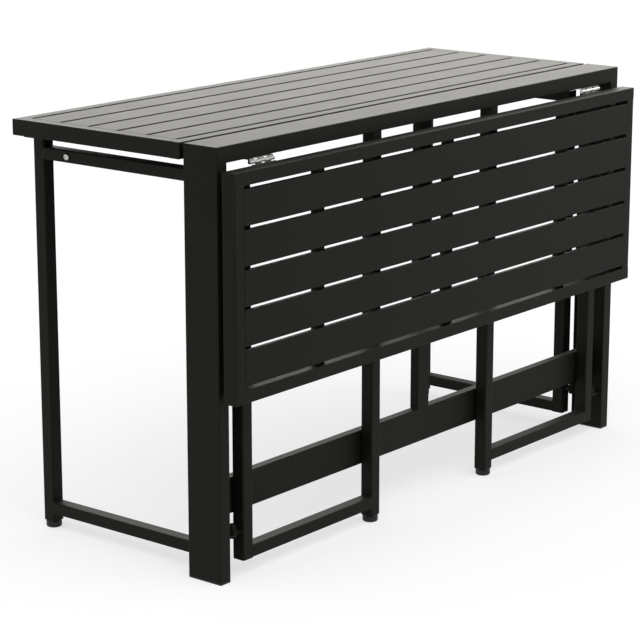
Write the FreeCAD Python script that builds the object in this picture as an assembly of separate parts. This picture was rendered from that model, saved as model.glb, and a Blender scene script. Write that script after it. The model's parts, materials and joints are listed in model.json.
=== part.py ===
import FreeCAD, Part
import math
import os

# Folding garden table: a narrow fixed frame, two hinged slatted leaves and four swinging gates.
# X runs along the table, +Y is the side of the raised leaf, Z is up. Sizes are in millimetres.

# Overall sizes
table_length = 1200.0
table_height = 740.0
top_thickness = 28.0

# Fixed frame
beam_width = 72.0
leg_thickness = 25.0
frame_wall = 2.0
frame_edge_radius = 1.5
leg_cap_lip = 3.0
leg_cap_plug = 16.0
plug_clearance = 0.2
stretcher_bottom = 107.0
stretcher_height = 63.0
middle_thickness = 18.0
middle_wall = 1.5
post_width = 34.0

# Leaves
leaf_past_leg = 15.5
leaf_gap = 8.0
leaf_rail_width = 23.0
leaf_wall = 1.5
leaf_edge_radius = 1.5
slat_count = 5
slot_width = 6.0
slat_thickness = 10.0
slat_edge_radius = 2.0
batten_width = 20.0
batten_thickness = 15.0
batten_spacing = 369.0
bumper_radius = 4.5
bumper_edge_radius = 1.5
bumper_height = 4.0
bumper_inset = 16.0
stop_clearance = 0.3
leg_stop_width = 7.0
leg_stop_height = 7.0
leg_stop_margin = 5.0

# Leaf hinges
hinge_length = 60.0
hinge_inset = 106.0
hinge_knuckles = 5
hinge_barrel_radius = 3.2
hinge_pin_drop = 6.0
hinge_plate_thickness = 2.0
hinge_plate_margin = 1.0
hinge_pin_radius = 1.6
hinge_pin_head = 1.5
hinge_pin_head_radius = 2.6
hinge_fit = 0.05
knuckle_gap = 0.4
notch_clearance = 0.5
hinge_screw_count = 3
hinge_screw_radius = 2.0
hinge_screw_head_radius = 3.6
hinge_screw_head_height = 1.6
hinge_screw_head_edge = 1.0
hinge_screw_reach = 5.0
screw_clearance = 0.1
hole_overrun = 1.0

# Gates
gate_length = 376.0
gate_tube = 25.0
gate_rail_height = 22.0
gate_wall = 1.5
gate_edge_radius = 3.0
gate_bottom = 27.0
gate_drop = 21.0
gate_setback = 1.0
foot_height = 13.0
foot_radius = 14.0
foot_neck_radius = 12.0
foot_neck_height = 2.0
foot_bottom_radius = 3.5
foot_plug = 18.0
weep_hole_radius = 3.0
stop_screw_from_leg = 56.0
stop_screw_head_radius = 5.8
stop_screw_head_height = 3.5
stop_screw_radius = 2.5
stop_screw_reach = 6.0

# Gate hinges
gate_seat_reach = 20.0
gate_arm_reach = 15.0
gate_lug_width = 16.0
gate_lug_thickness = 3.0
gate_lug_gap = 0.2
gate_bolt_radius = 4.0
gate_bolt_fit = 0.05
gate_bolt_head_radius = 6.5
gate_bolt_head_height = 4.5
gate_bolt_head_edge = 1.5
gate_nut_half_width = 6.5
gate_nut_height = 6.5
gate_nut_neck = 3.0
gate_nut_dome_radius = 6.0
gate_nut_grip = 8.0
gate_hinge_from_bottom = 50.0
gate_hinge_from_top = 50.0

# Places that follow from the sizes
left_end = -table_length / 2
leg_inner = left_end + leg_thickness
beam_edge = beam_width / 2
top_underside = table_height - top_thickness
stretcher_top = stretcher_bottom + stretcher_height
gate_middle = beam_edge - gate_setback - gate_tube / 2
gate_top = top_underside - gate_drop
gate_leg_top = top_underside - stop_clearance
pivot_x = leg_inner + gate_seat_reach
post_x = pivot_x + gate_arm_reach
leaf_near = beam_edge + leaf_gap
leaf_far = gate_middle + gate_arm_reach + gate_length + leaf_past_leg
leaf_depth = leaf_far - leaf_near
slat_underside = table_height - slat_thickness
slat_width = (leaf_depth - 2 * leaf_rail_width - (slat_count + 1) * slot_width) / slat_count
slat_pitch = slat_width + slot_width
pin_y = beam_edge + leaf_gap / 2
pin_z = top_underside - hinge_pin_drop
hinge_centres = [left_end + hinge_inset, -left_end - hinge_inset]
hanging_face = pin_y + hinge_pin_drop + top_thickness
origin_y = (leaf_far - hanging_face) / 2

X = FreeCAD.Vector(1, 0, 0)
Y = FreeCAD.Vector(0, 1, 0)
Z = FreeCAD.Vector(0, 0, 1)
ORIGIN = FreeCAD.Vector(0, 0, 0)
TOLERANCE = 1e-6


def vec(x, y, z):
    return FreeCAD.Vector(x, y, z)


def block(x0, x1, y0, y1, z0, z1):
    """A box between two corners."""
    return Part.makeBox(x1 - x0, y1 - y0, z1 - z0, vec(x0, y0, z0))


def rounded_block(x0, x1, y0, y1, z0, z1, along, radius):
    """A box whose edges along one axis are rounded."""
    solid = block(x0, x1, y0, y1, z0, z1)
    edges = [e for e in solid.Edges if 1 - abs(e.tangentAt(e.FirstParameter).dot(along)) < TOLERANCE]
    return solid.makeFillet(radius, edges)


def tube(x0, x1, y0, y1, z0, z1, along, radius, wall, start_wall=0.0, end_wall=0.0):
    """A rectangular tube along one axis, its ends open unless they are given a wall."""
    outer = rounded_block(x0, x1, y0, y1, z0, z1, along, radius)
    low = [x0 + wall, y0 + wall, z0 + wall]
    high = [x1 - wall, y1 - wall, z1 - wall]
    axis = [along.x, along.y, along.z].index(1)
    low[axis] = (x0, y0, z0)[axis] + start_wall
    high[axis] = (x1, y1, z1)[axis] - end_wall
    return outer.cut(block(low[0], high[0], low[1], high[1], low[2], high[2]))


def cylinder(radius, length, base, along):
    return Part.makeCylinder(radius, length, base, along)


def mirror_x(shape):
    return shape.mirror(ORIGIN, X)


def mirror_y(shape):
    return shape.mirror(ORIGIN, Y)


def turned(shape, base, axis, angle):
    copy = shape.copy()
    copy.rotate(base, axis, angle)
    return copy


def both_ends(shape):
    """A piece at the left end and its mirror image at the right end."""
    return [shape, mirror_x(shape)]


def save(name, solids):
    """Writes a node, moved so that the origin is under the middle of the whole table."""
    shape = Part.makeCompound(solids) if len(solids) > 1 else solids[0]
    shape = shape.copy()
    shape.translate(vec(0, -origin_y, 0))
    shape.exportStep("parts/%s.step" % name)


def prism(points, y0, y1):
    """A shape drawn in the XZ plane and drawn out along Y."""
    wire = Part.makePolygon([vec(x, y0, z) for x, z in points + points[:1]])
    return Part.Face(wire).extrude(vec(0, y1 - y0, 0))


# Fixed frame
def beam_side_of_mitre():
    """Space on the beam's side of both corner mitres."""
    slope = leg_thickness / top_thickness
    run = leg_thickness + slope * top_thickness
    low = table_height - run / slope
    points = [(left_end, table_height), (-left_end, table_height),
              (-left_end - run, low), (left_end + run, low)]
    return prism(points, -beam_width, beam_width)


def screw_holes(solid, holes):
    for hole in holes:
        solid = solid.cut(hole)
    return solid


def top_beam():
    beam = tube(left_end, -left_end, -beam_edge, beam_edge, top_underside, table_height,
                X, frame_edge_radius, frame_wall)
    beam = beam.common(beam_side_of_mitre())
    return screw_holes(beam, fixed_screw_holes())


def left_leg():
    leg = tube(left_end, leg_inner, -beam_edge, beam_edge, leg_cap_lip, table_height,
               Z, frame_edge_radius, frame_wall)
    return leg.cut(beam_side_of_mitre())


def left_leg_cap():
    lip = rounded_block(left_end, leg_inner, -beam_edge, beam_edge, 0, leg_cap_lip, Z, frame_edge_radius)
    inset = frame_wall + plug_clearance
    plug = block(left_end + inset, leg_inner - inset, inset - beam_edge, beam_edge - inset,
                 leg_cap_lip, leg_cap_lip + leg_cap_plug)
    return lip.fuse(plug).removeSplitter()


def lower_stretcher():
    half = middle_thickness / 2
    return tube(leg_inner, -leg_inner, -half, half, stretcher_bottom, stretcher_top,
                X, frame_edge_radius, middle_wall)


def centre_post():
    half = middle_thickness / 2
    return tube(-post_width / 2, post_width / 2, -half, half, stretcher_top, top_underside,
                Z, frame_edge_radius, middle_wall)


# Leaf hinges, drawn for the back edge of the beam with the leaf raised
def knuckle_spans(centre):
    """Start and end of every knuckle of one hinge, in order along X."""
    step = hinge_length / hinge_knuckles
    start = centre - hinge_length / 2
    half_gap = knuckle_gap / 2
    return [(start + i * step + half_gap, start + (i + 1) * step - half_gap) for i in range(hinge_knuckles)]


def plate_reach():
    return leaf_gap / 2 + leaf_rail_width - hinge_plate_margin


def notch_reach():
    return hinge_barrel_radius + notch_clearance


def screw_places(centre):
    """X of every screw of one hinge plate, and its distance from the pin."""
    step = hinge_length / hinge_screw_count
    across = (notch_reach() + plate_reach()) / 2
    return [(centre + (i - (hinge_screw_count - 1) / 2) * step, across) for i in range(hinge_screw_count)]


def hinge_plate(centre, side, first):
    """A plate with tabs down to every other knuckle. side is +1 on the leaf and -1 on the beam."""
    def along_y(near, far):
        return sorted((pin_y + side * near, pin_y + side * far))
    start, end = centre - hinge_length / 2, centre + hinge_length / 2
    y0, y1 = along_y(notch_reach(), plate_reach())
    plate = block(start, end, y0, y1, top_underside - hinge_plate_thickness, top_underside)
    t0, t1 = along_y(0, notch_reach())
    for x0, x1 in knuckle_spans(centre)[first::2]:
        tab = block(x0, x1, t0, t1, pin_z, top_underside)
        ring = cylinder(hinge_barrel_radius, x1 - x0, vec(x0, pin_y, pin_z), X)
        plate = plate.fuse(tab).fuse(ring)
    bore = cylinder(hinge_pin_radius + hinge_fit, hinge_length, vec(start, pin_y, pin_z), X)
    plate = plate.cut(bore)
    for x, across in screw_places(centre):
        hole = cylinder(hinge_screw_radius + screw_clearance, hinge_plate_thickness,
                        vec(x, pin_y + side * across, top_underside - hinge_plate_thickness), Z)
        plate = plate.cut(hole)
    return plate.removeSplitter()


def hinge_pin(centre):
    """The pin with a small head at both ends, proud of the outer knuckles."""
    start = centre - hinge_length / 2
    pin = cylinder(hinge_pin_radius, hinge_length, vec(start, pin_y, pin_z), X)
    for x in (start - hinge_pin_head, start + hinge_length):
        pin = pin.fuse(cylinder(hinge_pin_head_radius, hinge_pin_head, vec(x, pin_y, pin_z), X))
    return pin.removeSplitter()


def hinge_screws(side):
    """Pan-head screws of both hinges, on the leaf's or the beam's side of the pins."""
    screws = []
    for centre in hinge_centres:
        for x, across in screw_places(centre):
            y = pin_y + side * across
            seat = top_underside - hinge_plate_thickness
            head = cylinder(hinge_screw_head_radius, hinge_screw_head_height,
                            vec(x, y, seat - hinge_screw_head_height), Z)
            rim = [e for e in head.Edges if e.BoundBox.ZMax < seat - hinge_screw_head_height + TOLERANCE]
            head = head.makeFillet(hinge_screw_head_edge, rim)
            length = hinge_plate_thickness + hinge_screw_reach
            shank = cylinder(hinge_screw_radius, length, vec(x, y, seat), Z)
            screws.append(head.fuse(shank).removeSplitter())
    return screws


def wall_holes(side):
    """Holes for the hinge screws in the wall that a plate lies against."""
    holes = []
    for centre in hinge_centres:
        for x, across in screw_places(centre):
            base = vec(x, pin_y + side * across, top_underside - hole_overrun)
            depth = max(frame_wall, leaf_wall) + 2 * hole_overrun
            holes.append(cylinder(hinge_screw_radius + screw_clearance, depth, base, Z))
    return holes


def fixed_screw_holes():
    back = wall_holes(-1)
    return back + [mirror_y(hole) for hole in back]


# Gate hinges, drawn for the left end and the back of the frame
def gate_hinge_levels():
    """Upper face of the leg's lug at the lower and at the upper hinge."""
    return [gate_bottom + gate_hinge_from_bottom, gate_top - gate_hinge_from_top]


def hinge_lug(fixed_end, base):
    """A flat lug from a leg or a post out to the pivot, with a round end bored for the bolt."""
    half = gate_lug_width / 2
    middle = vec(pivot_x, gate_middle, base)
    x0, x1 = sorted((fixed_end, pivot_x))
    plate = block(x0, x1, gate_middle - half, gate_middle + half, base, base + gate_lug_thickness)
    round_end = cylinder(half, gate_lug_thickness, middle, Z)
    bore = cylinder(gate_bolt_radius + gate_bolt_fit, gate_lug_thickness, middle, Z)
    return plate.fuse(round_end).cut(bore).removeSplitter()


def gate_hinge_seat(level):
    """The lug on the leg, which carries the gate's lug."""
    return hinge_lug(leg_inner, level - gate_lug_thickness)


def gate_hinge_lug(level):
    """The lug on the gate, which turns between the leg's lug and the nut."""
    return hinge_lug(post_x, level + gate_lug_gap)


def gate_nut_base(level):
    return level + gate_lug_thickness + 2 * gate_lug_gap


def gate_hinge_bolt(level):
    """A bolt from under the leg's lug up into the nut."""
    seat = level - gate_lug_thickness
    low = seat - gate_bolt_head_height
    head = cylinder(gate_bolt_head_radius, gate_bolt_head_height, vec(pivot_x, gate_middle, low), Z)
    rim = [e for e in head.Edges if e.BoundBox.ZMax < low + TOLERANCE]
    head = head.makeFillet(gate_bolt_head_edge, rim)
    length = gate_nut_base(level) + gate_nut_grip - seat
    shank = cylinder(gate_bolt_radius, length, vec(pivot_x, gate_middle, seat), Z)
    return head.fuse(shank).removeSplitter()


def gate_hinge_nut(level):
    """A six-sided nut with a domed cap over the end of the bolt."""
    base = gate_nut_base(level)
    corner = gate_nut_half_width / math.cos(math.pi / 6)
    turns = [k * math.pi / 3 for k in range(6)]
    corners = [vec(corner * math.cos(turn), corner * math.sin(turn), 0) for turn in turns]
    nut = Part.Face(Part.makePolygon(corners + corners[:1])).extrude(vec(0, 0, gate_nut_height))
    r = gate_nut_dome_radius
    shoulder = gate_nut_height + gate_nut_neck
    slant = r * math.sqrt(0.5)
    outline = [
        Part.LineSegment(ORIGIN, vec(r, 0, 0)),
        Part.LineSegment(vec(r, 0, 0), vec(r, 0, shoulder)),
        Part.Arc(vec(r, 0, shoulder), vec(slant, 0, shoulder + slant), vec(0, 0, shoulder + r)),
        Part.LineSegment(vec(0, 0, shoulder + r), ORIGIN),
    ]
    cap = Part.Face(Part.Wire([line.toShape() for line in outline])).revolve(ORIGIN, Z, 360)
    bore = cylinder(gate_bolt_radius + gate_bolt_fit, gate_nut_grip + gate_bolt_fit, ORIGIN, Z)
    nut = nut.fuse(cap).removeSplitter().cut(bore)
    nut.translate(vec(pivot_x, gate_middle, base))
    return nut


# Gates, drawn folded flat at the left end and the back of the frame
def gate_pieces():
    y0, y1 = gate_middle - gate_tube / 2, gate_middle + gate_tube / 2
    post_end = post_x + gate_tube
    leg_end = post_x + gate_length
    leg_start = leg_end - gate_tube
    post = tube(post_x, post_end, y0, y1, gate_bottom, gate_top, Z, gate_edge_radius, gate_wall,
                gate_wall, gate_wall)
    weep = cylinder(weep_hole_radius, gate_wall, vec(post_x + gate_tube / 2, gate_middle, gate_bottom), Z)
    leg = tube(leg_start, leg_end, y0, y1, foot_height, gate_leg_top, Z, gate_edge_radius, gate_wall,
               0.0, gate_wall)
    top = tube(post_end, leg_start, y0, y1, gate_top - gate_rail_height, gate_top, X,
               gate_edge_radius, gate_wall)
    bottom = tube(post_end, leg_start, y0, y1, gate_bottom, gate_bottom + gate_rail_height, X,
                  gate_edge_radius, gate_wall)
    screw_x = leg_start - stop_screw_from_leg
    screw_z = gate_top - gate_rail_height / 2
    hole = cylinder(stop_screw_radius + screw_clearance, gate_wall + 2 * hole_overrun,
                    vec(screw_x, y1 - gate_wall - hole_overrun, screw_z), Y)
    return {
        "hinge_post": [post.cut(weep)],
        "free_leg": [leg],
        "rails": [top.cut(hole), bottom],
        "hinge_lugs": [gate_hinge_lug(level) for level in gate_hinge_levels()],
        "foot": [gate_foot(leg_start + gate_tube / 2)],
        "stop_screw": [stop_screw(screw_x, y1, screw_z)],
    }


def gate_foot(x):
    """A round glide with a rounded sole and a square plug in the end of the tube."""
    r, b = foot_radius, foot_bottom_radius
    shoulder = foot_height - foot_neck_height
    mid = math.sqrt(0.5) * b
    outline = [
        Part.LineSegment(vec(0, 0, 0), vec(r - b, 0, 0)),
        Part.Arc(vec(r - b, 0, 0), vec(r - b + mid, 0, b - mid), vec(r, 0, b)),
        Part.LineSegment(vec(r, 0, b), vec(r, 0, shoulder)),
        Part.LineSegment(vec(r, 0, shoulder), vec(foot_neck_radius, 0, foot_height)),
        Part.LineSegment(vec(foot_neck_radius, 0, foot_height), vec(0, 0, foot_height)),
        Part.LineSegment(vec(0, 0, foot_height), vec(0, 0, 0)),
    ]
    profile = Part.Face(Part.Wire([line.toShape() for line in outline]))
    glide = profile.revolve(ORIGIN, Z, 360)
    glide.translate(vec(x, gate_middle, 0))
    half = gate_tube / 2 - gate_wall - plug_clearance
    plug = block(x - half, x + half, gate_middle - half, gate_middle + half,
                 foot_height, foot_height + foot_plug)
    return glide.fuse(plug).removeSplitter()


def stop_screw(x, face, z):
    """A domed head on the outer face of the rail with its shank inside."""
    dome_radius = (stop_screw_head_radius ** 2 + stop_screw_head_height ** 2) / (2 * stop_screw_head_height)
    half_turn = math.asin(stop_screw_head_radius / dome_radius) / 2
    halfway = vec(dome_radius * math.sin(half_turn),
                  stop_screw_head_height - dome_radius + dome_radius * math.cos(half_turn), 0)
    rim = vec(stop_screw_head_radius, 0, 0)
    crown = vec(0, stop_screw_head_height, 0)
    outline = [
        Part.Arc(rim, halfway, crown),
        Part.LineSegment(crown, ORIGIN),
        Part.LineSegment(ORIGIN, rim),
    ]
    profile = Part.Face(Part.Wire([line.toShape() for line in outline]))
    screw = profile.revolve(ORIGIN, Y, 360)
    screw = screw.fuse(cylinder(stop_screw_radius, stop_screw_reach, vec(0, -stop_screw_reach, 0), Y))
    screw = screw.removeSplitter()
    screw.translate(vec(x, face, z))
    return screw


# Leaf, drawn raised behind the beam
def leaf_rail(y0, y1):
    return tube(left_end, -left_end, y0, y1, top_underside, table_height, X, leaf_edge_radius, leaf_wall,
                leaf_wall, leaf_wall)


def leaf_end_rail():
    y0, y1 = leaf_near + leaf_rail_width, leaf_far - leaf_rail_width
    return tube(left_end, left_end + leaf_rail_width, y0, y1, top_underside, table_height, Y,
                leaf_edge_radius, leaf_wall)


def leaf_slat(index):
    y0 = leaf_near + leaf_rail_width + slot_width + index * slat_pitch
    return tube(left_end + leaf_rail_width, -left_end - leaf_rail_width, y0, y0 + slat_width,
                slat_underside, table_height, X, slat_edge_radius, leaf_wall)


def leaf_batten(middle):
    y0, y1 = leaf_near + leaf_rail_width, leaf_far - leaf_rail_width
    return tube(middle - batten_width / 2, middle + batten_width / 2, y0, y1,
                slat_underside - batten_thickness, slat_underside, Y, leaf_edge_radius, leaf_wall)


def leaf_bumper():
    """A low round pad under the outer corner."""
    base = vec(left_end + bumper_inset, leaf_far - bumper_inset, top_underside - bumper_height)
    bumper = cylinder(bumper_radius, bumper_height, base, Z)
    rim = [e for e in bumper.Edges if e.BoundBox.ZMax < top_underside - bumper_height + TOLERANCE]
    return bumper.makeFillet(bumper_edge_radius, rim)


def leaf_leg_stop():
    """Hangs under the outer rail beside the open gate's leg, so that the gate stops square to the frame."""
    x1 = pivot_x - gate_tube / 2 - stop_clearance
    return block(x1 - leg_stop_width, x1, leaf_far - leaf_rail_width, leaf_far - leg_stop_margin,
                 top_underside - leg_stop_height, top_underside)


def leaf_pieces():
    inner = leaf_rail(leaf_near, leaf_near + leaf_rail_width)
    pieces = {
        "inner_rail": [screw_holes(inner, wall_holes(1))],
        "outer_rail": [leaf_rail(leaf_far - leaf_rail_width, leaf_far)],
        "end_rails": both_ends(leaf_end_rail()),
        "battens": [leaf_batten(x) for x in (-batten_spacing, 0.0, batten_spacing)],
        "rubber_pads": both_ends(leaf_bumper()) + both_ends(leaf_leg_stop()),
        "hinge_plates": [hinge_plate(centre, 1, 1) for centre in hinge_centres],
        "hinge_screws": hinge_screws(1),
    }
    for index in range(slat_count):
        pieces["slat_%d" % (index + 1)] = [leaf_slat(index)]
    return pieces


# Writing the nodes
os.makedirs("parts", exist_ok=True)

save("top_beam", [top_beam()])
save("left_leg", [left_leg()])
save("right_leg", [mirror_x(left_leg())])
save("leg_caps", both_ends(left_leg_cap()))
save("lower_stretcher", [lower_stretcher()])
save("centre_post", [centre_post()])

seats = [gate_hinge_seat(level) for level in gate_hinge_levels()]
bolts = [gate_hinge_bolt(level) for level in gate_hinge_levels()]
nuts = [gate_hinge_nut(level) for level in gate_hinge_levels()]
for name, back_left in (("gate_hinge_seats", seats), ("gate_hinge_bolts", bolts), ("gate_hinge_nuts", nuts)):
    left = back_left + [mirror_y(solid) for solid in back_left]
    save(name, left + [mirror_x(solid) for solid in left])

fixed_plates = [hinge_plate(centre, -1, 0) for centre in hinge_centres]
leaf_pins = [hinge_pin(centre) for centre in hinge_centres]
beam_screws = hinge_screws(-1)
for name, back in (("fixed_hinge_plates", fixed_plates), ("leaf_hinge_pins", leaf_pins),
                   ("beam_hinge_screws", beam_screws)):
    save(name, back + [mirror_y(solid) for solid in back])

front_pin = vec(0, -pin_y, pin_z)
for name, solids in leaf_pieces().items():
    save("back_leaf_" + name, solids)
    save("front_leaf_" + name, [turned(mirror_y(solid), front_pin, X, 90) for solid in solids])

pivot = vec(pivot_x, gate_middle, 0)
for name, solids in gate_pieces().items():
    swung = [turned(solid, pivot, Z, 90) for solid in solids]
    folded = [mirror_y(solid) for solid in solids]
    save("back_left_gate_" + name, swung)
    save("back_right_gate_" + name, [mirror_x(solid) for solid in swung])
    save("front_left_gate_" + name, folded)
    save("front_right_gate_" + name, [mirror_x(solid) for solid in folded])
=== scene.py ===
import json
import math

import bmesh
import bpy
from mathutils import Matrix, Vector


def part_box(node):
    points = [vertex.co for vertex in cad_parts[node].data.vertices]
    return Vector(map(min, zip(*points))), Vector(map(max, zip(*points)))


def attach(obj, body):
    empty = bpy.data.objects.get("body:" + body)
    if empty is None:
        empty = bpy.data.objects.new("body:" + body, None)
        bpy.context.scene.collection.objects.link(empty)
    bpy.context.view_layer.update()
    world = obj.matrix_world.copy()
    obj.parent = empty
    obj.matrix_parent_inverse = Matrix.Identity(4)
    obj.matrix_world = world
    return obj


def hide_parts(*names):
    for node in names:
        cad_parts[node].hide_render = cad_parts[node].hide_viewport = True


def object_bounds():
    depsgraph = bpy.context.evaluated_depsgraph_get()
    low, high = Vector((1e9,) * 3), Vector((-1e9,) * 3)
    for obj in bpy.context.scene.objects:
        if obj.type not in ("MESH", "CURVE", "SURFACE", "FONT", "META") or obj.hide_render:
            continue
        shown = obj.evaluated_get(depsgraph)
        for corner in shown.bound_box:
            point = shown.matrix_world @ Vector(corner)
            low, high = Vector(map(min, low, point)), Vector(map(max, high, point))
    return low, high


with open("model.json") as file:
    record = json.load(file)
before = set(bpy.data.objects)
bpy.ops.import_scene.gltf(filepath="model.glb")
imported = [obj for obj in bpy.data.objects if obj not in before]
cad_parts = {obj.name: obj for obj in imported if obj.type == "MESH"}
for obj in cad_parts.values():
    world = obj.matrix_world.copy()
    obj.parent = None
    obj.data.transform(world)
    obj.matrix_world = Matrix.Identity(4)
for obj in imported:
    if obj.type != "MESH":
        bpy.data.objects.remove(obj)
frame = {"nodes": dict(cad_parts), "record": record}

bl_info = {
    "name": "Folding garden table",
    "version": (1, 0, 0),
    "blender": (4, 5, 0),
    "location": "View3D > Sidebar > Garden table",
    "description": "Coat, steel, plastic, welds, screws and stage of a folding garden table",
    "category": "Object",
}

CAD_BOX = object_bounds()
SLOT_OF_NODE = {entry["node"]: entry["material_slot"] for entry in frame["record"]["subparts"]}
NODES_OF_BODY = frame["record"]["behaviour"]["bodies"]
LEAVES = [body for body in NODES_OF_BODY if body.endswith("leaf")]
GATES = [body for body in NODES_OF_BODY if body.endswith("gate")]
COATED = ("coated_aluminium", "coated_steel")
AXES = [Vector((1, 0, 0)), Vector((0, 1, 0)), Vector((0, 0, 1))]
WHITE = (1.0, 1.0, 1.0, 1.0)
QUARTER_TURN = math.radians(90)

# Distance in metres under which two points count as one
TOUCH = 2e-5

# Shares of a colour between which its tone drifts
COAT_TONES = (0.8, 1.2)
MOULDED_TONES = (0.75, 1.3)
FLOOR_TONES = (0.995, 1.0)

# Lengths in metres over which a tone drifts
COAT_DRIFT = 0.09
PLASTIC_DRIFT = 0.012
RUBBER_DRIFT = 0.006
FLOOR_DRIFT = 2.0
FLOOR_GRAIN = 0.02

# How far roughness strays below and above its setting
STEEL_STRAY = (-0.06, 0.08)
MOULDED_STRAY = (-0.05, 0.05)
MOULDED_GLOSS = 0.3

# Noise: layers of detail, and the range that most of its values lie in
FINE_DETAIL = 2.0
SLOW_DETAIL = 3.0
NOISE_RANGE = (0.3, 0.7)

# Brushed steel: how far lines are drawn out along X, and how much coarser than lines the streaks are
LINE_STRETCH = 0.03
STREAK_SCALE = 0.12

# Rounded edges: samples of the rounding, and the cosines between which an edge takes the lighter edge colour,
# partly wear and partly a painted highlight
EDGE_SAMPLES = 6
EDGE_RANGE = (0.995, 0.86)

# Weld beads: fullness of the bulge, square of the reach left at an end, and the end's inset, by a bead's size
BEAD_BULGE = 1.4
BEAD_END = 0.04
BEAD_INSET = 0.1
BEAD_ARC_STEPS = 5
STEPS_PER_RIPPLE = 4
GROUND_END_STEPS = 4
GROUND_ARC_STEPS = 6

# Screw heads: radius and height of the outer rings, then the recess, as shares of the head
HEAD_RINGS = ((1.0, 0.0), (1.0, 0.3), (0.93, 0.62), (0.78, 0.88))
HEAD_RIM = 0.9
RECESS_TAPER = 0.82
RECESS_TIP = 0.8

# Angles above which an edge of a mesh stays sharp
WELD_SHARP = math.radians(50)
SCREW_SHARP = math.radians(32)

# Stage: where the key light comes from, and the camera's sensor and view depth
KEY_FROM = Vector((-0.35, -0.45, 1.0))
SENSOR_WIDTH = 36.0
VIEW_DEPTH = 100.0


# Settings that a user would change

class CoatSettings(bpy.types.PropertyGroup):
    """Black powder coat of the tubes"""
    colour: bpy.props.FloatVectorProperty(
        name="Coat colour", description="Colour of the powder coat", subtype="COLOR",
        size=3, min=0.0, max=1.0, default=(0.0052, 0.005, 0.0038))
    # Edge colour: partly wear where handling polished an edge, partly a painted highlight along the rounded
    # edges
    rubbed_colour: bpy.props.FloatVectorProperty(
        name="Edge colour", description="Colour of the coat where handling has polished an edge",
        subtype="COLOR", size=3, min=0.0, max=1.0, default=(0.0095, 0.0092, 0.008))
    roughness: bpy.props.FloatProperty(
        name="Roughness", description="Roughness of the satin surface", subtype="FACTOR",
        min=0.0, max=1.0, default=0.58)
    specular: bpy.props.FloatProperty(
        name="Gloss level", description="Strength of the reflections of the coat", subtype="FACTOR",
        min=0.0, max=1.0, default=0.13)
    specular_tint: bpy.props.FloatVectorProperty(
        name="Gloss tint", description="Tint of the reflections seen face on", subtype="COLOR",
        size=3, min=0.0, max=1.0, default=(1.0, 0.965, 0.86))
    roughness_drift: bpy.props.FloatProperty(
        name="Roughness drift", description="How far the roughness strays over a long tube",
        subtype="FACTOR", min=0.0, max=0.2, default=0.012)
    grain: bpy.props.FloatProperty(
        name="Grain", description="Size of the fine grain of the powder coat", unit="LENGTH",
        min=0.0001, max=0.01, default=0.0008)
    grain_depth: bpy.props.FloatProperty(
        name="Grain depth", description="Height of the fine grain", unit="LENGTH",
        min=0.0, max=0.001, default=0.00003)
    edge_radius: bpy.props.FloatProperty(
        name="Edge radius", description="Rounding that the coat gives to a sharp edge", unit="LENGTH",
        min=0.0, max=0.005, default=0.0009)


class SteelSettings(bpy.types.PropertyGroup):
    """Bare stainless steel of hinges, pins and screws"""
    colour: bpy.props.FloatVectorProperty(
        name="Steel colour", description="Colour of the bare steel", subtype="COLOR",
        size=3, min=0.0, max=1.0, default=(0.6, 0.6, 0.585))
    tarnish: bpy.props.FloatVectorProperty(
        name="Tarnish colour", description="Colour of the duller streaks in the steel", subtype="COLOR",
        size=3, min=0.0, max=1.0, default=(0.42, 0.42, 0.405))
    roughness: bpy.props.FloatProperty(
        name="Roughness", description="Roughness of the satin steel", subtype="FACTOR",
        min=0.0, max=1.0, default=0.22)
    line_width: bpy.props.FloatProperty(
        name="Brush line", description="Width of the fine lines left by brushing", unit="LENGTH",
        min=0.00005, max=0.005, default=0.0003)
    line_depth: bpy.props.FloatProperty(
        name="Line depth", description="Depth of the brushed lines", unit="LENGTH",
        min=0.0, max=0.0005, default=0.00001)


class MouldedSettings(bpy.types.PropertyGroup):
    """Moulded plastic feet and caps, and rubber pads"""
    plastic: bpy.props.FloatVectorProperty(
        name="Plastic colour", description="Colour of the feet and leg caps", subtype="COLOR",
        size=3, min=0.0, max=1.0, default=(0.009, 0.009, 0.009))
    plastic_roughness: bpy.props.FloatProperty(
        name="Plastic roughness", description="Roughness of the moulded plastic", subtype="FACTOR",
        min=0.0, max=1.0, default=0.5)
    rubber: bpy.props.FloatVectorProperty(
        name="Rubber colour", description="Colour of the rubber pads and stops", subtype="COLOR",
        size=3, min=0.0, max=1.0, default=(0.013, 0.013, 0.0125))
    rubber_roughness: bpy.props.FloatProperty(
        name="Rubber roughness", description="Roughness of the rubber", subtype="FACTOR",
        min=0.0, max=1.0, default=0.78)
    grain: bpy.props.FloatProperty(
        name="Mould grain", description="Size of the fine grain of the moulds", unit="LENGTH",
        min=0.0001, max=0.01, default=0.0006)
    grain_depth: bpy.props.FloatProperty(
        name="Mould grain depth", description="Height of that grain", unit="LENGTH",
        min=0.0, max=0.001, default=0.00004)


class WeldSettings(bpy.types.PropertyGroup):
    """Weld beads between the tubes"""
    size: bpy.props.FloatProperty(
        name="Bead size", description="Reach of a bead along each of the two faces that it joins",
        unit="LENGTH", min=0.0005, max=0.01, default=0.0024)
    small_size: bpy.props.FloatProperty(
        name="Small bead size", description="Reach of the beads round the gate hinges", unit="LENGTH",
        min=0.0005, max=0.01, default=0.0016)
    pitch: bpy.props.FloatProperty(
        name="Ripple pitch", description="Distance between two ripples of a bead", unit="LENGTH",
        min=0.0005, max=0.01, default=0.0019)
    ripple: bpy.props.FloatProperty(
        name="Ripple", description="Share of the bead's size that the ripples take up", subtype="FACTOR",
        min=0.0, max=0.5, default=0.16)
    tack_length: bpy.props.FloatProperty(
        name="Tack length", description="Length of the beads between a slat and a batten", unit="LENGTH",
        min=0.002, max=0.06, default=0.024)


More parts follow.
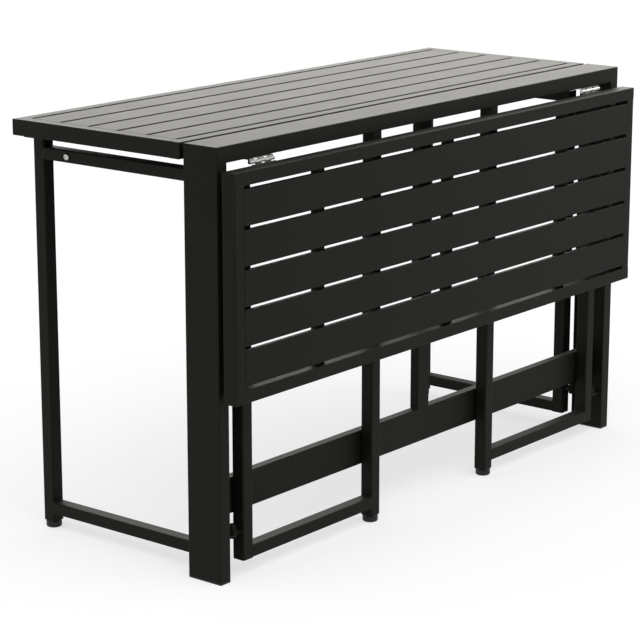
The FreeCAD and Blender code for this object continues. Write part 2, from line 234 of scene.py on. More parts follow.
class ScrewSettings(bpy.types.PropertyGroup):
    """Drive recesses of the screws"""
    cross_reach: bpy.props.FloatProperty(
        name="Cross reach", description="Reach of the cross recess as a share of the head's radius",
        subtype="FACTOR", min=0.1, max=0.9, default=0.58)
    cross_width: bpy.props.FloatProperty(
        name="Cross width", description="Half width of the cross as a share of the head's radius",
        subtype="FACTOR", min=0.05, max=0.4, default=0.17)
    socket_reach: bpy.props.FloatProperty(
        name="Socket reach", description="Half width of the six-sided socket as a share of the head's radius",
        subtype="FACTOR", min=0.1, max=0.8, default=0.35)
    depth: bpy.props.FloatProperty(
        name="Recess depth", description="Depth of the recess as a share of the head's height",
        subtype="FACTOR", min=0.1, max=0.9, default=0.4)


class StageSettings(bpy.types.PropertyGroup):
    """Floor, light and camera"""
    floor_size: bpy.props.FloatProperty(
        name="Floor size", description="Side of the square floor", unit="LENGTH",
        min=2.0, max=200.0, default=60.0)
    floor_colour: bpy.props.FloatVectorProperty(
        name="Floor colour", description="Colour of the plain floor", subtype="COLOR",
        size=3, min=0.0, max=1.0, default=(0.5, 0.5, 0.5))
    floor_lift: bpy.props.FloatProperty(
        name="Floor lift", description="Light that makes the floor white to the camera and in reflections",
        min=0.0, max=1.0, default=0.6)
    sky: bpy.props.FloatProperty(
        name="Soft light", description="Strength of the soft light from all sides",
        min=0.0, max=2.0, default=0.6)
    key: bpy.props.FloatProperty(
        name="Key light", description="Strength of the soft light from above",
        min=0.0, max=10.0, default=1.0)
    key_spread: bpy.props.FloatProperty(
        name="Key spread", description="Angle over which the light from above spreads", subtype="ANGLE",
        min=0.0, max=math.pi, default=math.radians(80))
    panel: bpy.props.FloatProperty(
        name="Panel light", description="Power of the panel that the table top reflects, in watts",
        min=0.0, max=1000.0, default=79.0)
    panel_colour: bpy.props.FloatVectorProperty(
        name="Panel colour", description="Colour of that panel", subtype="COLOR",
        size=3, min=0.0, max=1.0, default=(1.0, 0.975, 0.93))
    panel_width: bpy.props.FloatProperty(
        name="Panel width", description="Width of that panel", unit="LENGTH",
        min=0.1, max=20.0, default=4.0)
    panel_height: bpy.props.FloatProperty(
        name="Panel height", description="Height of that panel", unit="LENGTH",
        min=0.1, max=20.0, default=1.2)
    panel_foot: bpy.props.FloatProperty(
        name="Panel foot", description="Height of the panel's lower edge above the floor", unit="LENGTH",
        min=0.0, max=10.0, default=0.78)
    panel_distance: bpy.props.FloatProperty(
        name="Panel distance", description="Distance from the table's middle to the panel behind it",
        unit="LENGTH", min=0.5, max=20.0, default=1.3)
    azimuth: bpy.props.FloatProperty(
        name="Azimuth", description="Camera's turn about the table, from the front", subtype="ANGLE",
        default=math.radians(-51.082))
    elevation: bpy.props.FloatProperty(
        name="Elevation", description="Camera's height angle above the floor", subtype="ANGLE",
        default=math.radians(14.028))
    distance: bpy.props.FloatProperty(
        name="Distance", description="Distance from the camera to the middle of the table",
        unit="LENGTH", min=0.5, max=50.0, default=4.43083)
    aside: bpy.props.FloatProperty(
        name="Aside", description="How far right of the picture's middle the table's middle lies",
        unit="LENGTH", default=0.04578)
    above: bpy.props.FloatProperty(
        name="Above", description="How far above the picture's middle the table's middle lies",
        unit="LENGTH", default=0.06072)
    lens: bpy.props.FloatProperty(
        name="Lens", description="Focal length in millimetres on a sensor 36 mm wide",
        min=10.0, max=500.0, default=132.802)


class TableSettings(bpy.types.PropertyGroup):
    """All settings of the table"""
    coat: bpy.props.PointerProperty(name="Coat", description="Black powder coat", type=CoatSettings)
    steel: bpy.props.PointerProperty(name="Steel", description="Bare steel", type=SteelSettings)
    moulded: bpy.props.PointerProperty(name="Moulded", description="Plastic and rubber", type=MouldedSettings)
    weld: bpy.props.PointerProperty(name="Welds", description="Weld beads", type=WeldSettings)
    screw: bpy.props.PointerProperty(name="Screws", description="Screw recesses", type=ScrewSettings)
    stage: bpy.props.PointerProperty(name="Stage", description="Floor, light and camera", type=StageSettings)


# Shader node groups

def new_group(name, inputs, outputs):
    """An empty node group with the named sockets, and its two end nodes."""
    group = bpy.data.node_groups.new(name, "ShaderNodeTree")
    for socket, kind in inputs:
        group.interface.new_socket(name=socket, in_out="INPUT", socket_type=kind)
    for socket, kind in outputs:
        group.interface.new_socket(name=socket, in_out="OUTPUT", socket_type=kind)
    return group, group.nodes.new("NodeGroupInput"), group.nodes.new("NodeGroupOutput")


def scaled_vector(group, vector, size):
    """A place divided by a length, so that one unit of it is that long."""
    divide = group.nodes.new("ShaderNodeMath")
    divide.operation = "DIVIDE"
    divide.inputs[0].default_value = 1.0
    scale = group.nodes.new("ShaderNodeVectorMath")
    scale.operation = "SCALE"
    group.links.new(size, divide.inputs[1])
    group.links.new(vector, scale.inputs[0])
    group.links.new(divide.outputs[0], scale.inputs["Scale"])
    return scale.outputs[0]


def noise(group, vector, scale, detail):
    """Noise over a scaled place."""
    texture = group.nodes.new("ShaderNodeTexNoise")
    texture.inputs["Scale"].default_value = scale
    texture.inputs["Detail"].default_value = detail
    group.links.new(vector, texture.inputs["Vector"])
    return texture.outputs["Fac"]


def fine_grain_group():
    """Fine bumps of a sprayed or moulded surface, and a slow drift of its tone."""
    name = "Fine grain"
    if name in bpy.data.node_groups:
        return bpy.data.node_groups[name]
    group, start, end = new_group(
        name,
        [("Place", "NodeSocketVector"), ("Grain", "NodeSocketFloat"), ("Drift", "NodeSocketFloat")],
        [("Height", "NodeSocketFloat"), ("Tone", "NodeSocketFloat")])
    small = scaled_vector(group, start.outputs["Place"], start.outputs["Grain"])
    large = scaled_vector(group, start.outputs["Place"], start.outputs["Drift"])
    group.links.new(noise(group, small, 1.0, FINE_DETAIL), end.inputs["Height"])
    group.links.new(noise(group, large, 1.0, SLOW_DETAIL), end.inputs["Tone"])
    return group


def rounded_edge_group():
    """Normal of an edge rounded by the coat, and a mask of those edges."""
    name = "Rounded edge"
    if name in bpy.data.node_groups:
        return bpy.data.node_groups[name]
    group, start, end = new_group(
        name,
        [("Radius", "NodeSocketFloat")],
        [("Normal", "NodeSocketVector"), ("Edge", "NodeSocketFloat")])
    bevel = group.nodes.new("ShaderNodeBevel")
    bevel.samples = EDGE_SAMPLES
    group.links.new(start.outputs["Radius"], bevel.inputs["Radius"])
    flat = group.nodes.new("ShaderNodeNewGeometry")
    dot = group.nodes.new("ShaderNodeVectorMath")
    dot.operation = "DOT_PRODUCT"
    group.links.new(bevel.outputs["Normal"], dot.inputs[0])
    group.links.new(flat.outputs["Normal"], dot.inputs[1])
    spread = group.nodes.new("ShaderNodeMapRange")
    spread.inputs["From Min"].default_value = EDGE_RANGE[0]
    spread.inputs["From Max"].default_value = EDGE_RANGE[1]
    group.links.new(dot.outputs["Value"], spread.inputs["Value"])
    group.links.new(bevel.outputs["Normal"], end.inputs["Normal"])
    group.links.new(spread.outputs["Result"], end.inputs["Edge"])
    return group


def brushed_group():
    """Fine lines along X, and the duller streaks among them."""
    name = "Brushed lines"
    if name in bpy.data.node_groups:
        return bpy.data.node_groups[name]
    group, start, end = new_group(
        name,
        [("Place", "NodeSocketVector"), ("Line", "NodeSocketFloat")],
        [("Height", "NodeSocketFloat"), ("Streak", "NodeSocketFloat")])
    stretch = group.nodes.new("ShaderNodeVectorMath")
    stretch.operation = "MULTIPLY"
    stretch.inputs[1].default_value = (LINE_STRETCH, 1.0, 1.0)
    small = scaled_vector(group, start.outputs["Place"], start.outputs["Line"])
    group.links.new(small, stretch.inputs[0])
    group.links.new(noise(group, stretch.outputs[0], 1.0, FINE_DETAIL), end.inputs["Height"])
    group.links.new(noise(group, stretch.outputs[0], STREAK_SCALE, SLOW_DETAIL), end.inputs["Streak"])
    return group


# Materials

def new_material(name):
    """A material with its Principled shader and the place on the piece, in metres."""
    material = bpy.data.materials.new(name)
    material.use_nodes = True
    tree = material.node_tree
    place = tree.nodes.new("ShaderNodeTexCoord")
    return material, tree, tree.nodes["Principled BSDF"], place.outputs["Object"]


def put_group(tree, group, place=None, **values):
    """A node group in a material, with its place and its fixed values set."""
    node = tree.nodes.new("ShaderNodeGroup")
    node.node_tree = group
    if place is not None:
        tree.links.new(place, node.inputs["Place"])
    for socket, value in values.items():
        node.inputs[socket].default_value = value
    return node


def blend_colours(tree, mask, first, second):
    """A mix of two colours by a mask. Each is a fixed colour or another node's output."""
    mix = tree.nodes.new("ShaderNodeMix")
    mix.data_type = "RGBA"
    tree.links.new(mask, mix.inputs["Factor"])
    for socket, colour in (("A", first), ("B", second)):
        target = [s for s in mix.inputs if s.name == socket and s.type == "RGBA"][0]
        if isinstance(colour, bpy.types.NodeSocket):
            tree.links.new(colour, target)
        else:
            target.default_value = (*colour, 1.0)
    return [s for s in mix.outputs if s.type == "RGBA"][0]


def drifting_tone(tree, mask, colour, tones):
    """A colour that drifts between two shares of itself."""
    darker, lighter = (tuple(min(1.0, c * share) for c in colour) for share in tones)
    return blend_colours(tree, mask, darker, lighter)


def drift_roughness(tree, shader, mask, roughness, stray):
    """Roughness that strays below and above its setting."""
    ramp = tree.nodes.new("ShaderNodeMapRange")
    ramp.inputs["From Min"].default_value = NOISE_RANGE[0]
    ramp.inputs["From Max"].default_value = NOISE_RANGE[1]
    ramp.inputs["To Min"].default_value = roughness + stray[0]
    ramp.inputs["To Max"].default_value = roughness + stray[1]
    tree.links.new(mask, ramp.inputs["Value"])
    tree.links.new(ramp.outputs["Result"], shader.inputs["Roughness"])


def raise_surface(tree, shader, height, depth, normal=None):
    """Bumps of a given depth, on top of another normal where there is one."""
    bump = tree.nodes.new("ShaderNodeBump")
    bump.inputs["Strength"].default_value = 1.0
    bump.inputs["Distance"].default_value = depth
    tree.links.new(height, bump.inputs["Height"])
    if normal is not None:
        tree.links.new(normal, bump.inputs["Normal"])
    tree.links.new(bump.outputs["Normal"], shader.inputs["Normal"])


def coat_material(settings):
    """Satin powder coat with a fine grain, and a lighter colour at its rounded edges that is partly wear and
    partly a painted highlight.
    """
    name = "Satin black coat"
    if name in bpy.data.materials:
        return bpy.data.materials[name]
    material, tree, shader, place = new_material(name)
    grain = put_group(tree, fine_grain_group(), place, Grain=settings.grain, Drift=COAT_DRIFT)
    edge = put_group(tree, rounded_edge_group(), Radius=settings.edge_radius)
    tone = drifting_tone(tree, grain.outputs["Tone"], settings.colour, COAT_TONES)
    # Rounded edges take the lighter edge colour, partly wear and partly a painted highlight
    colour = blend_colours(tree, edge.outputs["Edge"], tone, settings.rubbed_colour)
    tree.links.new(colour, shader.inputs["Base Color"])
    stray = (-settings.roughness_drift, settings.roughness_drift)
    drift_roughness(tree, shader, grain.outputs["Tone"], settings.roughness, stray)
    shader.inputs["Specular IOR Level"].default_value = settings.specular
    shader.inputs["Specular Tint"].default_value = (*settings.specular_tint, 1.0)
    raise_surface(tree, shader, grain.outputs["Height"], settings.grain_depth, edge.outputs["Normal"])
    return material


def steel_material(settings):
    """Satin stainless steel with brushed lines and duller streaks."""
    name = "Satin steel"
    if name in bpy.data.materials:
        return bpy.data.materials[name]
    material, tree, shader, place = new_material(name)
    lines = put_group(tree, brushed_group(), place, Line=settings.line_width)
    colour = blend_colours(tree, lines.outputs["Streak"], settings.colour, settings.tarnish)
    tree.links.new(colour, shader.inputs["Base Color"])
    drift_roughness(tree, shader, lines.outputs["Streak"], settings.roughness, STEEL_STRAY)
    shader.inputs["Metallic"].default_value = 1.0
    raise_surface(tree, shader, lines.outputs["Height"], settings.line_depth)
    return material


def moulded_material(name, colour, roughness, settings, drift):
    """Moulded plastic or rubber with the fine grain of its mould."""
    if name in bpy.data.materials:
        return bpy.data.materials[name]
    material, tree, shader, place = new_material(name)
    grain = put_group(tree, fine_grain_group(), place, Grain=settings.grain, Drift=drift)
    tone = drifting_tone(tree, grain.outputs["Tone"], colour, MOULDED_TONES)
    tree.links.new(tone, shader.inputs["Base Color"])
    drift_roughness(tree, shader, grain.outputs["Tone"], roughness, MOULDED_STRAY)
    shader.inputs["Specular IOR Level"].default_value = MOULDED_GLOSS
    raise_surface(tree, shader, grain.outputs["Height"], settings.grain_depth)
    return material


def finish_nodes(nodes, material):
    """Gives a material to CAD nodes, whose meshes stay as they are."""
    if not nodes:
        raise RuntimeError("no node takes the material %s" % material.name)
    for node in nodes:
        mesh = frame["nodes"][node].data
        mesh.materials.clear()
        mesh.materials.append(material)


def nodes_with(bodies, slots):
    """CAD nodes of some bodies that have one of the material slots."""
    return [node for body in bodies for node in NODES_OF_BODY[body] if SLOT_OF_NODE[node] in slots]


# Measures taken from the CAD nodes

def solids_of(node):
    """Points of each solid of a CAD node, which the node's mesh holds as separate islands."""
    mesh = frame["nodes"][node].data
    key_of = [tuple(round(c / TOUCH) for c in vertex.co) for vertex in mesh.vertices]
    parent = {key: key for key in key_of}

    def root(key):
        while parent[key] != key:
            parent[key] = parent[parent[key]]
            key = parent[key]
        return key

    for polygon in mesh.polygons:
        first = root(key_of[polygon.vertices[0]])
        for index in polygon.vertices[1:]:
            parent[root(key_of[index])] = first
    islands = {}
    for vertex, key in zip(mesh.vertices, key_of):
        islands.setdefault(root(key), []).append(vertex.co.copy())
    return [islands[key] for key in sorted(islands)]


def box_of(points):
    """Lowest and highest corner of some points."""
    return (Vector(map(min, *points)), Vector(map(max, *points)))


def points_at(points, axis, at):
    """The points that lie on the plane across an axis."""
    return [p for p in points if abs(p[axis] - at) < TOUCH]


# Weld beads

def skin(mesh, rings):
    """Joins a row of rings, which have the same number of corners, by strips of faces."""
    for first, second in zip(rings, rings[1:]):
        for k in range(len(first)):
            after = (k + 1) % len(first)
            mesh.faces.new((first[k], first[after], second[after], second[k]))


def close_in_point(mesh, ring, place):
    """Closes a ring by faces that meet in one point."""
    point = mesh.verts.new(place)
    for k in range(len(ring)):
        mesh.faces.new((ring[k], ring[(k + 1) % len(ring)], point))


def add_bead(mesh, start, end, first, second, size, settings):
    """A rippled bead in the corner between two faces, which run off along first and second."""
    length = (end - start).length
    steps = max(STEPS_PER_RIPPLE, round(STEPS_PER_RIPPLE * length / settings.pitch))
    arc = [QUARTER_TURN * k / BEAD_ARC_STEPS for k in range(BEAD_ARC_STEPS + 1)]
    rings = []
    for i in range(steps + 1):
        run = length * i / steps
        from_end = min(run, length - run)
        taper = math.sqrt(max(BEAD_END, 1 - max(0.0, 1 - from_end / size) ** 2))
        swell = 1 + settings.ripple * (abs(math.cos(math.pi * run / settings.pitch)) - 1)
        reach = size * swell * taper
        corner = start.lerp(end, i / steps)
        ring = [mesh.verts.new(corner)]
        for angle in arc:
            out = max(0.0, math.cos(angle)) ** BEAD_BULGE
            up = max(0.0, math.sin(angle)) ** BEAD_BULGE
            ring.append(mesh.verts.new(corner + reach * (out * first + up * second)))
        rings.append(ring)
    skin(mesh, rings)
    mesh.faces.new(reversed(rings[0]))
    mesh.faces.new(rings[-1])


def flat_side(face, other, sign):
    """Box of the flat part of one side of a bar, at the bar's end face."""
    low, high = box_of(face)
    return box_of(points_at(face, other, (high if sign > 0 else low)[other]))


def add_collar(mesh, face, axis, away, size, settings, sides):
    """Beads round the end of a bar. away is the bar's direction, and sides are its faces that get a bead."""
    for other, sign in sides:
        start, end = flat_side(face, other, sign)
        inset = (end - start).normalized() * size * BEAD_INSET
        add_bead(mesh, start + inset, end - inset, AXES[axis] * away, AXES[other] * sign, size, settings)


def add_ground_weld(mesh, face, axis, away, other, sign):
    """Fills the groove between a rail's end and the rounded edge of the next tube, flush with one side."""
    low, high = box_of(face)
    flat_low = flat_side(face, other, sign)[0]
    line = 3 - axis - other
    radius = flat_low[line] - low[line]

    def place(at, into, depth):
        point = Vector(low)
        point[line] = at
        point[axis] = face[0][axis] - away * into
        point[other] = flat_low[other] - sign * depth
        return point

    def arc(start, steps):
        turns = [start + (QUARTER_TURN - start) * k / steps for k in range(steps + 1)]
        return [(radius * (1 - math.sin(turn)), radius * (1 - math.cos(turn))) for turn in turns]

    stations = [(low[line] + rise, inset) for inset, rise in arc(0.0, GROUND_END_STEPS)]
    stations += [(low[line] + high[line] - at, inset) for at, inset in reversed(stations)]
    rings = []
    for at, inset in stations[1:-1]:
        outline = [(0.0, inset)] + arc(math.acos(1 - inset / radius), GROUND_ARC_STEPS)
        rings.append([mesh.verts.new(place(at, into, depth)) for into, depth in outline])
    skin(mesh, rings)
    for end in (0, -1):
        at, inset = stations[end]
        close_in_point(mesh, rings[end], place(at, 0.0, inset))


def all_sides(axis):
    """The four sides of a bar along an axis."""
    return [(other, sign) for other in range(3) if other != axis for sign in (-1, 1)]


def frame_welds(settings):
    """Beads at both ends of the stretcher and the centre post and round the hinge seats on the legs."""
    mesh = bmesh.new()
    stretcher = solids_of("lower_stretcher")[0]
    low, high = box_of(stretcher)
    for at, away in ((low.x, 1), (high.x, -1)):
        add_collar(mesh, points_at(stretcher, 0, at), 0, away, settings.size, settings, all_sides(0))
    post = solids_of("centre_post")[0]
    low, high = box_of(post)
    add_collar(mesh, points_at(post, 2, low.z), 2, 1, settings.size, settings, [(0, -1), (0, 1)])
    add_collar(mesh, points_at(post, 2, high.z), 2, -1, settings.size, settings, all_sides(2))
    for seat in solids_of("gate_hinge_seats"):
        low, high = box_of(seat)
        away = 1 if low.x < 0 else -1
        at = low.x if away > 0 else high.x
        add_collar(mesh, points_at(seat, 0, at), 0, away, settings.small_size, settings, all_sides(0))
    return mesh


def gate_welds(gate, settings):
    """Beads in a gate's corners and round its hinge lugs, and ground welds on its flush sides."""
    mesh = bmesh.new()
    neighbours = [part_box(gate + "_hinge_post"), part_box(gate + "_free_leg")]
    for rail in solids_of(gate + "_rails"):
        low, high = box_of(rail)
        axis = max((0, 1), key=lambda a: high[a] - low[a])
        for at, away in ((low[axis], 1), (high[axis], -1)):
            tube = min(neighbours, key=lambda box: min(abs(box[0][axis] - at), abs(box[1][axis] - at)))
            sides = []
            if tube[1].z > high.z + TOUCH:
                sides.append((2, 1))
            if tube[0].z < low.z - TOUCH:
                sides.append((2, -1))
            face = points_at(rail, axis, at)
            add_collar(mesh, face, axis, away, settings.size, settings, sides)
            for sign in (-1, 1):
                add_ground_weld(mesh, face, axis, away, 1 - axis, sign)
    post_low = neighbours[0][0]
    for lug in solids_of(gate + "_hinge_lugs"):
        low, high = box_of(lug)
        axis = max((0, 1), key=lambda a: high[a] - low[a])
        at, away = low[axis], 1
        if abs(high[axis] - post_low[axis]) < TOUCH:
            at, away = high[axis], -1
        face = points_at(lug, axis, at)
        add_collar(mesh, face, axis, away, settings.small_size, settings, all_sides(axis))
    return mesh


def leaf_welds(leaf, settings):
    """Ground welds at the leaf's corners, and short beads beside a batten where it crosses a slat."""
    mesh = bmesh.new()
    for rail in solids_of(leaf + "_end_rails"):
        low, high = box_of(rail)
        axis = max((1, 2), key=lambda a: high[a] - low[a])
        for at, away in ((low[axis], 1), (high[axis], -1)):
            for sign in (-1, 1):
                add_ground_weld(mesh, points_at(rail, axis, at), axis, away, 3 - axis, sign)
    slats = [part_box(node) for node in NODES_OF_BODY[leaf] if "_slat_" in node]
    for batten in solids_of(leaf + "_battens"):
        batten_low, batten_high = box_of(batten)
        for low, high in slats:
            flat = min((1, 2), key=lambda a: high[a] - low[a])
            across = 3 - flat
            under = -1 if batten_low[flat] < low[flat] else 1
            middle = (low + high) / 2
            for x, sign in ((batten_low.x, -1), (batten_high.x, 1)):
                start = Vector((x, 0.0, 0.0))
                start[flat] = low[flat] if under < 0 else high[flat]
                end = start.copy()
                start[across] = middle[across] - settings.tack_length / 2
                end[across] = middle[across] + settings.tack_length / 2
                add_bead(mesh, start, end, AXES[0] * sign, AXES[flat] * under, settings.small_size, settings)
    return mesh


def finish_piece(name, mesh, material, body, sharp_angle):
    """Turns a mesh under construction into a piece that rides on a body."""
    bmesh.ops.recalc_face_normals(mesh, faces=mesh.faces)
    data = bpy.data.meshes.new(name)
    mesh.to_mesh(data)
    mesh.free()
    data.shade_smooth()
    data.set_sharp_from_angle(angle=sharp_angle)
    data.materials.append(material)
    piece = bpy.data.objects.new(name, data)
    bpy.context.scene.collection.objects.link(piece)
    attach(piece, body)
    return piece


def finish_welds(body, mesh, settings):
    """Makes the piece that holds all the welds of a body."""
    coat = coat_material(settings.coat)
    finish_piece(body + "_welds", mesh, coat, body, WELD_SHARP)


# Screws

def ring_angles(screw):
    """Angles at which a head and its recess are drawn, with the corners of a cross among them."""
    corner = math.atan2(screw.cross_width, screw.cross_reach)
    diagonal = QUARTER_TURN / 2
    half = (corner + diagonal) / 2
    quarter = [0.0, corner, half, diagonal, 2 * diagonal - half, 2 * diagonal - corner]
    return [QUARTER_TURN * turn + angle for turn in range(4) for angle in quarter]


def cross_outline(screw, angle):
    """Distance from the middle to the edge of a cross recess, as a share of the head's radius."""
    fold = angle % QUARTER_TURN
    fold = min(fold, QUARTER_TURN - fold)
    if fold <= math.atan2(screw.cross_width, screw.cross_reach) + TOUCH:
        return screw.cross_reach / math.cos(fold)
    return screw.cross_width / math.sin(fold)


def socket_outline(screw, angle):
    """Distance from the middle to the edge of a six-sided socket, as a share of the head's radius."""
    side = math.radians(60)
    return screw.socket_reach / math.cos((angle + side / 2) % side - side / 2)


def add_screw(mesh, points, outline, screw):
    """A shank and a domed head with a recess, in the place of a CAD screw."""
    low, high = box_of(points)
    size = high - low
    axis = min(range(3), key=lambda a: abs(size[(a + 1) % 3] - size[(a + 2) % 3]))
    others = [a for a in range(3) if a != axis]
    middle = (low + high) / 2
    head_radius = max(size[a] for a in others) / 2

    def from_axis(point):
        return math.hypot(*(point[a] - middle[a] for a in others))

    wide = [p[axis] for p in points if from_axis(p) > head_radius * HEAD_RIM]
    narrow_end = low[axis] if max(wide) > middle[axis] else high[axis]
    tip = high[axis] if narrow_end == low[axis] else low[axis]
    way = 1 if tip > narrow_end else -1
    seat = min(wide, key=lambda value: abs(value - narrow_end))
    shank_radius = max(from_axis(p) for p in points if abs(p[axis] - narrow_end) < TOUCH)
    height = abs(tip - seat)
    shank = abs(seat - narrow_end)
    angles = ring_angles(screw)
    u, v, w = AXES[others[0]], AXES[others[1]], AXES[axis] * way
    base = Vector(middle)
    base[axis] = seat

    def ring(radii, rise):
        rays = [u * math.cos(angle) + v * math.sin(angle) for angle in angles]
        return [mesh.verts.new(base + w * rise + ray * radius) for ray, radius in zip(rays, radii)]

    def circle(radius, rise):
        return ring([radius] * len(angles), rise)

    floor = (1 - screw.depth) * height
    mouth = [head_radius * outline(screw, angle) for angle in angles]
    rings = [circle(shank_radius, -shank), circle(shank_radius, 0.0)]
    rings += [circle(head_radius * width, height * rise) for width, rise in HEAD_RINGS]
    rings += [ring(mouth, height), ring([r * RECESS_TAPER for r in mouth], floor)]
    skin(mesh, rings)
    mesh.faces.new(reversed(rings[0]))
    close_in_point(mesh, rings[-1], base + w * floor * RECESS_TIP)


def replace_screws(node, body, name, outline, settings):
    """Puts screws with a recess of the given outline in the place of a node of plain screws."""
    mesh = bmesh.new()
    for points in solids_of(node):
        add_screw(mesh, points, outline, settings.screw)
    steel = steel_material(settings.steel)
    piece = finish_piece(name, mesh, steel, body, SCREW_SHARP)
    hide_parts(node)


# Stage

def seen_rays(tree):
    """1 for rays of the camera, of reflections and through glass, and 0 for rays of light."""
    path = tree.nodes.new("ShaderNodeLightPath")
    seen = path.outputs["Is Camera Ray"]
    for ray in ("Is Glossy Ray", "Is Transmission Ray"):
        either = tree.nodes.new("ShaderNodeMath")
        either.operation = "MAXIMUM"
        tree.links.new(seen, either.inputs[0])
        tree.links.new(path.outputs[ray], either.inputs[1])
        seen = either.outputs[0]
    return seen


def studio_floor(settings):
    """A plain pale floor that shows white to the camera and keeps the table's shadow."""
    half = settings.floor_size / 2
    corners = [(-half, -half, 0), (half, -half, 0), (half, half, 0), (-half, half, 0)]
    mesh = bpy.data.meshes.new("studio_floor")
    mesh.from_pydata(corners, [], [(0, 1, 2, 3)])
    floor = bpy.data.objects.new("studio_floor", mesh)
    bpy.context.scene.collection.objects.link(floor)
    material, tree, shader, place = new_material("Studio floor")
    grain = put_group(tree, fine_grain_group(), place, Grain=FLOOR_GRAIN, Drift=FLOOR_DRIFT)
    tone = drifting_tone(tree, grain.outputs["Tone"], settings.floor_colour, FLOOR_TONES)
    tree.links.new(tone, shader.inputs["Base Color"])
    shader.inputs["Roughness"].default_value = 1.0
    shader.inputs["Specular IOR Level"].default_value = 0.0
    shader.inputs["Emission Color"].default_value = WHITE
    lift = tree.nodes.new("ShaderNodeMath")
    lift.operation = "MULTIPLY"
    lift.inputs[1].default_value = settings.floor_lift
    tree.links.new(seen_rays(tree), lift.inputs[0])
    tree.links.new(lift.outputs[0], shader.inputs["Emission Strength"])
    mesh.materials.append(material)


def studio_world(settings):
    """Soft light from all sides, seen as white by the camera and in reflections."""
    world = bpy.data.worlds.new("Studio")
    world.use_nodes = True
    tree = world.node_tree
    soft = tree.nodes["Background"]
    soft.inputs["Color"].default_value = WHITE
    soft.inputs["Strength"].default_value = settings.sky
    white = tree.nodes.new("ShaderNodeBackground")
    white.inputs["Color"].default_value = WHITE
    white.inputs["Strength"].default_value = 1.0
    mix = tree.nodes.new("ShaderNodeMixShader")
    tree.links.new(seen_rays(tree), mix.inputs["Fac"])
    tree.links.new(soft.outputs[0], mix.inputs[1])
    tree.links.new(white.outputs[0], mix.inputs[2])
    tree.links.new(mix.outputs[0], tree.nodes["World Output"].inputs["Surface"])
    bpy.context.scene.world = world


def key_light(settings):
    """A soft light from above, a little in front of the table."""
    data = bpy.data.lights.new("key_light", "SUN")
    data.energy = settings.key
    data.angle = settings.key_spread
    lamp = bpy.data.objects.new("key_light", data)
    lamp.rotation_euler = KEY_FROM.to_track_quat("Z", "Y").to_euler()
    bpy.context.scene.collection.objects.link(lamp)


def reflection_panel(settings):
    """A soft panel across the table from the camera, which lights nothing and only shows in reflections."""
    data = bpy.data.lights.new("reflection_panel", "AREA")
    data.shape = "RECTANGLE"
    data.size = settings.panel_width
    data.size_y = settings.panel_height
    data.energy = settings.panel
    data.color = settings.panel_colour
    lamp = bpy.data.objects.new("reflection_panel", data)
    towards = Vector((math.sin(settings.azimuth), -math.cos(settings.azimuth), 0.0))
    lamp.location = -settings.panel_distance * towards
    lamp.location.z = settings.panel_foot + settings.panel_height / 2
    lamp.rotation_euler = (-towards).to_track_quat("Z", "Y").to_euler()
    lamp.visible_camera = False
    lamp.visible_diffuse = False
    bpy.context.scene.collection.objects.link(lamp)


def photo_camera(settings):
    """A camera at the photo's angle and distance."""
    a, e = settings.azimuth, settings.elevation
    back = Vector((math.sin(a) * math.cos(e), -math.cos(a) * math.cos(e), math.sin(e)))
    right = AXES[2].cross(back).normalized()
    up = back.cross(right)
    middle = (CAD_BOX[0] + CAD_BOX[1]) / 2
    data = bpy.data.cameras.new("photo_camera")
    data.lens = settings.lens
    data.sensor_width = SENSOR_WIDTH
    data.clip_end = VIEW_DEPTH
    camera = bpy.data.objects.new("photo_camera", data)
    camera.location = middle - settings.aside * right - settings.above * up + settings.distance * back
    camera.rotation_euler = back.to_track_quat("Z", "Y").to_euler()
    bpy.context.scene.collection.objects.link(camera)
    bpy.context.scene.camera = camera


# Operators

class TABLE_OT_coat_frame(bpy.types.Operator):
    """Coats the fixed frame with the seats, bolts and nuts of the gate hinges"""
    bl_idname = "table.coat_frame"
    bl_label = "Coat the frame"

    def execute(self, context):
        settings = context.scene.garden_table
        finish_nodes(nodes_with(["frame"], COATED), coat_material(settings.coat))
        return {"FINISHED"}


class TABLE_OT_coat_leaves(bpy.types.Operator):
    """Coats the rails, slats and battens of both leaves"""
    bl_idname = "table.coat_leaves"
    bl_label = "Coat the leaves"

    def execute(self, context):
        settings = context.scene.garden_table
        finish_nodes(nodes_with(LEAVES, COATED), coat_material(settings.coat))
        return {"FINISHED"}


class TABLE_OT_coat_gates(bpy.types.Operator):
    """Coats the tubes and hinge lugs of the four gates"""
    bl_idname = "table.coat_gates"
    bl_label = "Coat the gates"

    def execute(self, context):
        settings = context.scene.garden_table
        finish_nodes(nodes_with(GATES, COATED), coat_material(settings.coat))
        return {"FINISHED"}


class TABLE_OT_finish_steel(bpy.types.Operator):
    """Gives the hinge plates, pins and screws their bare steel"""
    bl_idname = "table.finish_steel"
    bl_label = "Finish the steel"

    def execute(self, context):
        settings = context.scene.garden_table
        finish_nodes(nodes_with(NODES_OF_BODY, ("stainless",)), steel_material(settings.steel))
        return {"FINISHED"}


class TABLE_OT_finish_plastic(bpy.types.Operator):
    """Gives the feet and leg caps their plastic and the pads their rubber"""
    bl_idname = "table.finish_plastic"
    bl_label = "Finish the plastic and rubber"

    def execute(self, context):
        moulded = context.scene.garden_table.moulded
        plastic = moulded_material(
            "Matte black plastic", moulded.plastic, moulded.plastic_roughness, moulded, PLASTIC_DRIFT)
        rubber = moulded_material(
            "Black rubber", moulded.rubber, moulded.rubber_roughness, moulded, RUBBER_DRIFT)
        finish_nodes(nodes_with(NODES_OF_BODY, ("black_plastic",)), plastic)
        finish_nodes(nodes_with(NODES_OF_BODY, ("black_rubber",)), rubber)
        return {"FINISHED"}


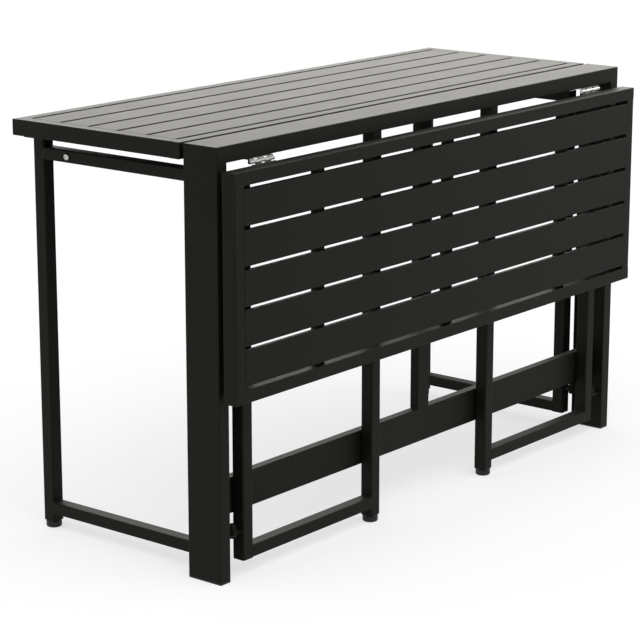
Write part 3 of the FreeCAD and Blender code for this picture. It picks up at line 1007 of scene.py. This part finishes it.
class TABLE_OT_add_welds(bpy.types.Operator):
    """Adds the weld beads of the frame, the gates and the leaves"""
    bl_idname = "table.add_welds"
    bl_label = "Add the welds"

    def execute(self, context):
        settings = context.scene.garden_table
        finish_welds("frame", frame_welds(settings.weld), settings)
        for gate in GATES:
            finish_welds(gate, gate_welds(gate, settings.weld), settings)
        for leaf in LEAVES:
            finish_welds(leaf, leaf_welds(leaf, settings.weld), settings)
        return {"FINISHED"}


class TABLE_OT_add_screws(bpy.types.Operator):
    """Puts screws with drive recesses in the place of the plain CAD screws"""
    bl_idname = "table.add_screws"
    bl_label = "Add the screws"

    def execute(self, context):
        settings = context.scene.garden_table
        replace_screws("beam_hinge_screws", "frame", "beam_screws", cross_outline, settings)
        for leaf in LEAVES:
            replace_screws(leaf + "_hinge_screws", leaf, leaf + "_screws", cross_outline, settings)
        for gate in GATES:
            replace_screws(gate + "_stop_screw", gate, gate + "_rail_screw", socket_outline, settings)
        return {"FINISHED"}


class TABLE_OT_set_stage(bpy.types.Operator):
    """Sets the floor, the light and the camera"""
    bl_idname = "table.set_stage"
    bl_label = "Set the stage"

    def execute(self, context):
        settings = context.scene.garden_table.stage
        studio_floor(settings)
        studio_world(settings)
        key_light(settings)
        reflection_panel(settings)
        photo_camera(settings)
        context.scene.view_settings.view_transform = "Standard"
        return {"FINISHED"}


class TABLE_PT_sidebar(bpy.types.Panel):
    """Steps that dress the table, in order"""
    bl_idname = "TABLE_PT_sidebar"
    bl_label = "Garden table"
    bl_space_type = "VIEW_3D"
    bl_region_type = "UI"
    bl_category = "Garden table"

    def draw(self, context):
        for operator in OPERATORS:
            self.layout.operator(operator.bl_idname)
        table = context.scene.garden_table
        for group in TableSettings.__annotations__:
            settings = getattr(table, group)
            box = self.layout.box()
            box.label(text=table.bl_rna.properties[group].name)
            for name in type(settings).__annotations__:
                box.prop(settings, name)


SETTINGS = (CoatSettings, SteelSettings, MouldedSettings, WeldSettings, ScrewSettings, StageSettings,
            TableSettings)
OPERATORS = (TABLE_OT_coat_frame, TABLE_OT_coat_leaves, TABLE_OT_coat_gates, TABLE_OT_finish_steel,
             TABLE_OT_finish_plastic, TABLE_OT_add_welds, TABLE_OT_add_screws, TABLE_OT_set_stage)


def register():
    for item in SETTINGS + OPERATORS + (TABLE_PT_sidebar,):
        bpy.utils.register_class(item)
    bpy.types.Scene.garden_table = bpy.props.PointerProperty(
        name="Garden table", description="Settings of the folding garden table", type=TableSettings)


def unregister():
    del bpy.types.Scene.garden_table
    for item in reversed(SETTINGS + OPERATORS + (TABLE_PT_sidebar,)):
        bpy.utils.unregister_class(item)


def main():
    register()
    bpy.ops.table.coat_frame()
    bpy.ops.table.coat_leaves()
    bpy.ops.table.coat_gates()
    bpy.ops.table.finish_steel()
    bpy.ops.table.finish_plastic()
    bpy.ops.table.add_welds()
    bpy.ops.table.add_screws()
    bpy.ops.table.set_stage()


if __name__ == "__main__":
    main()
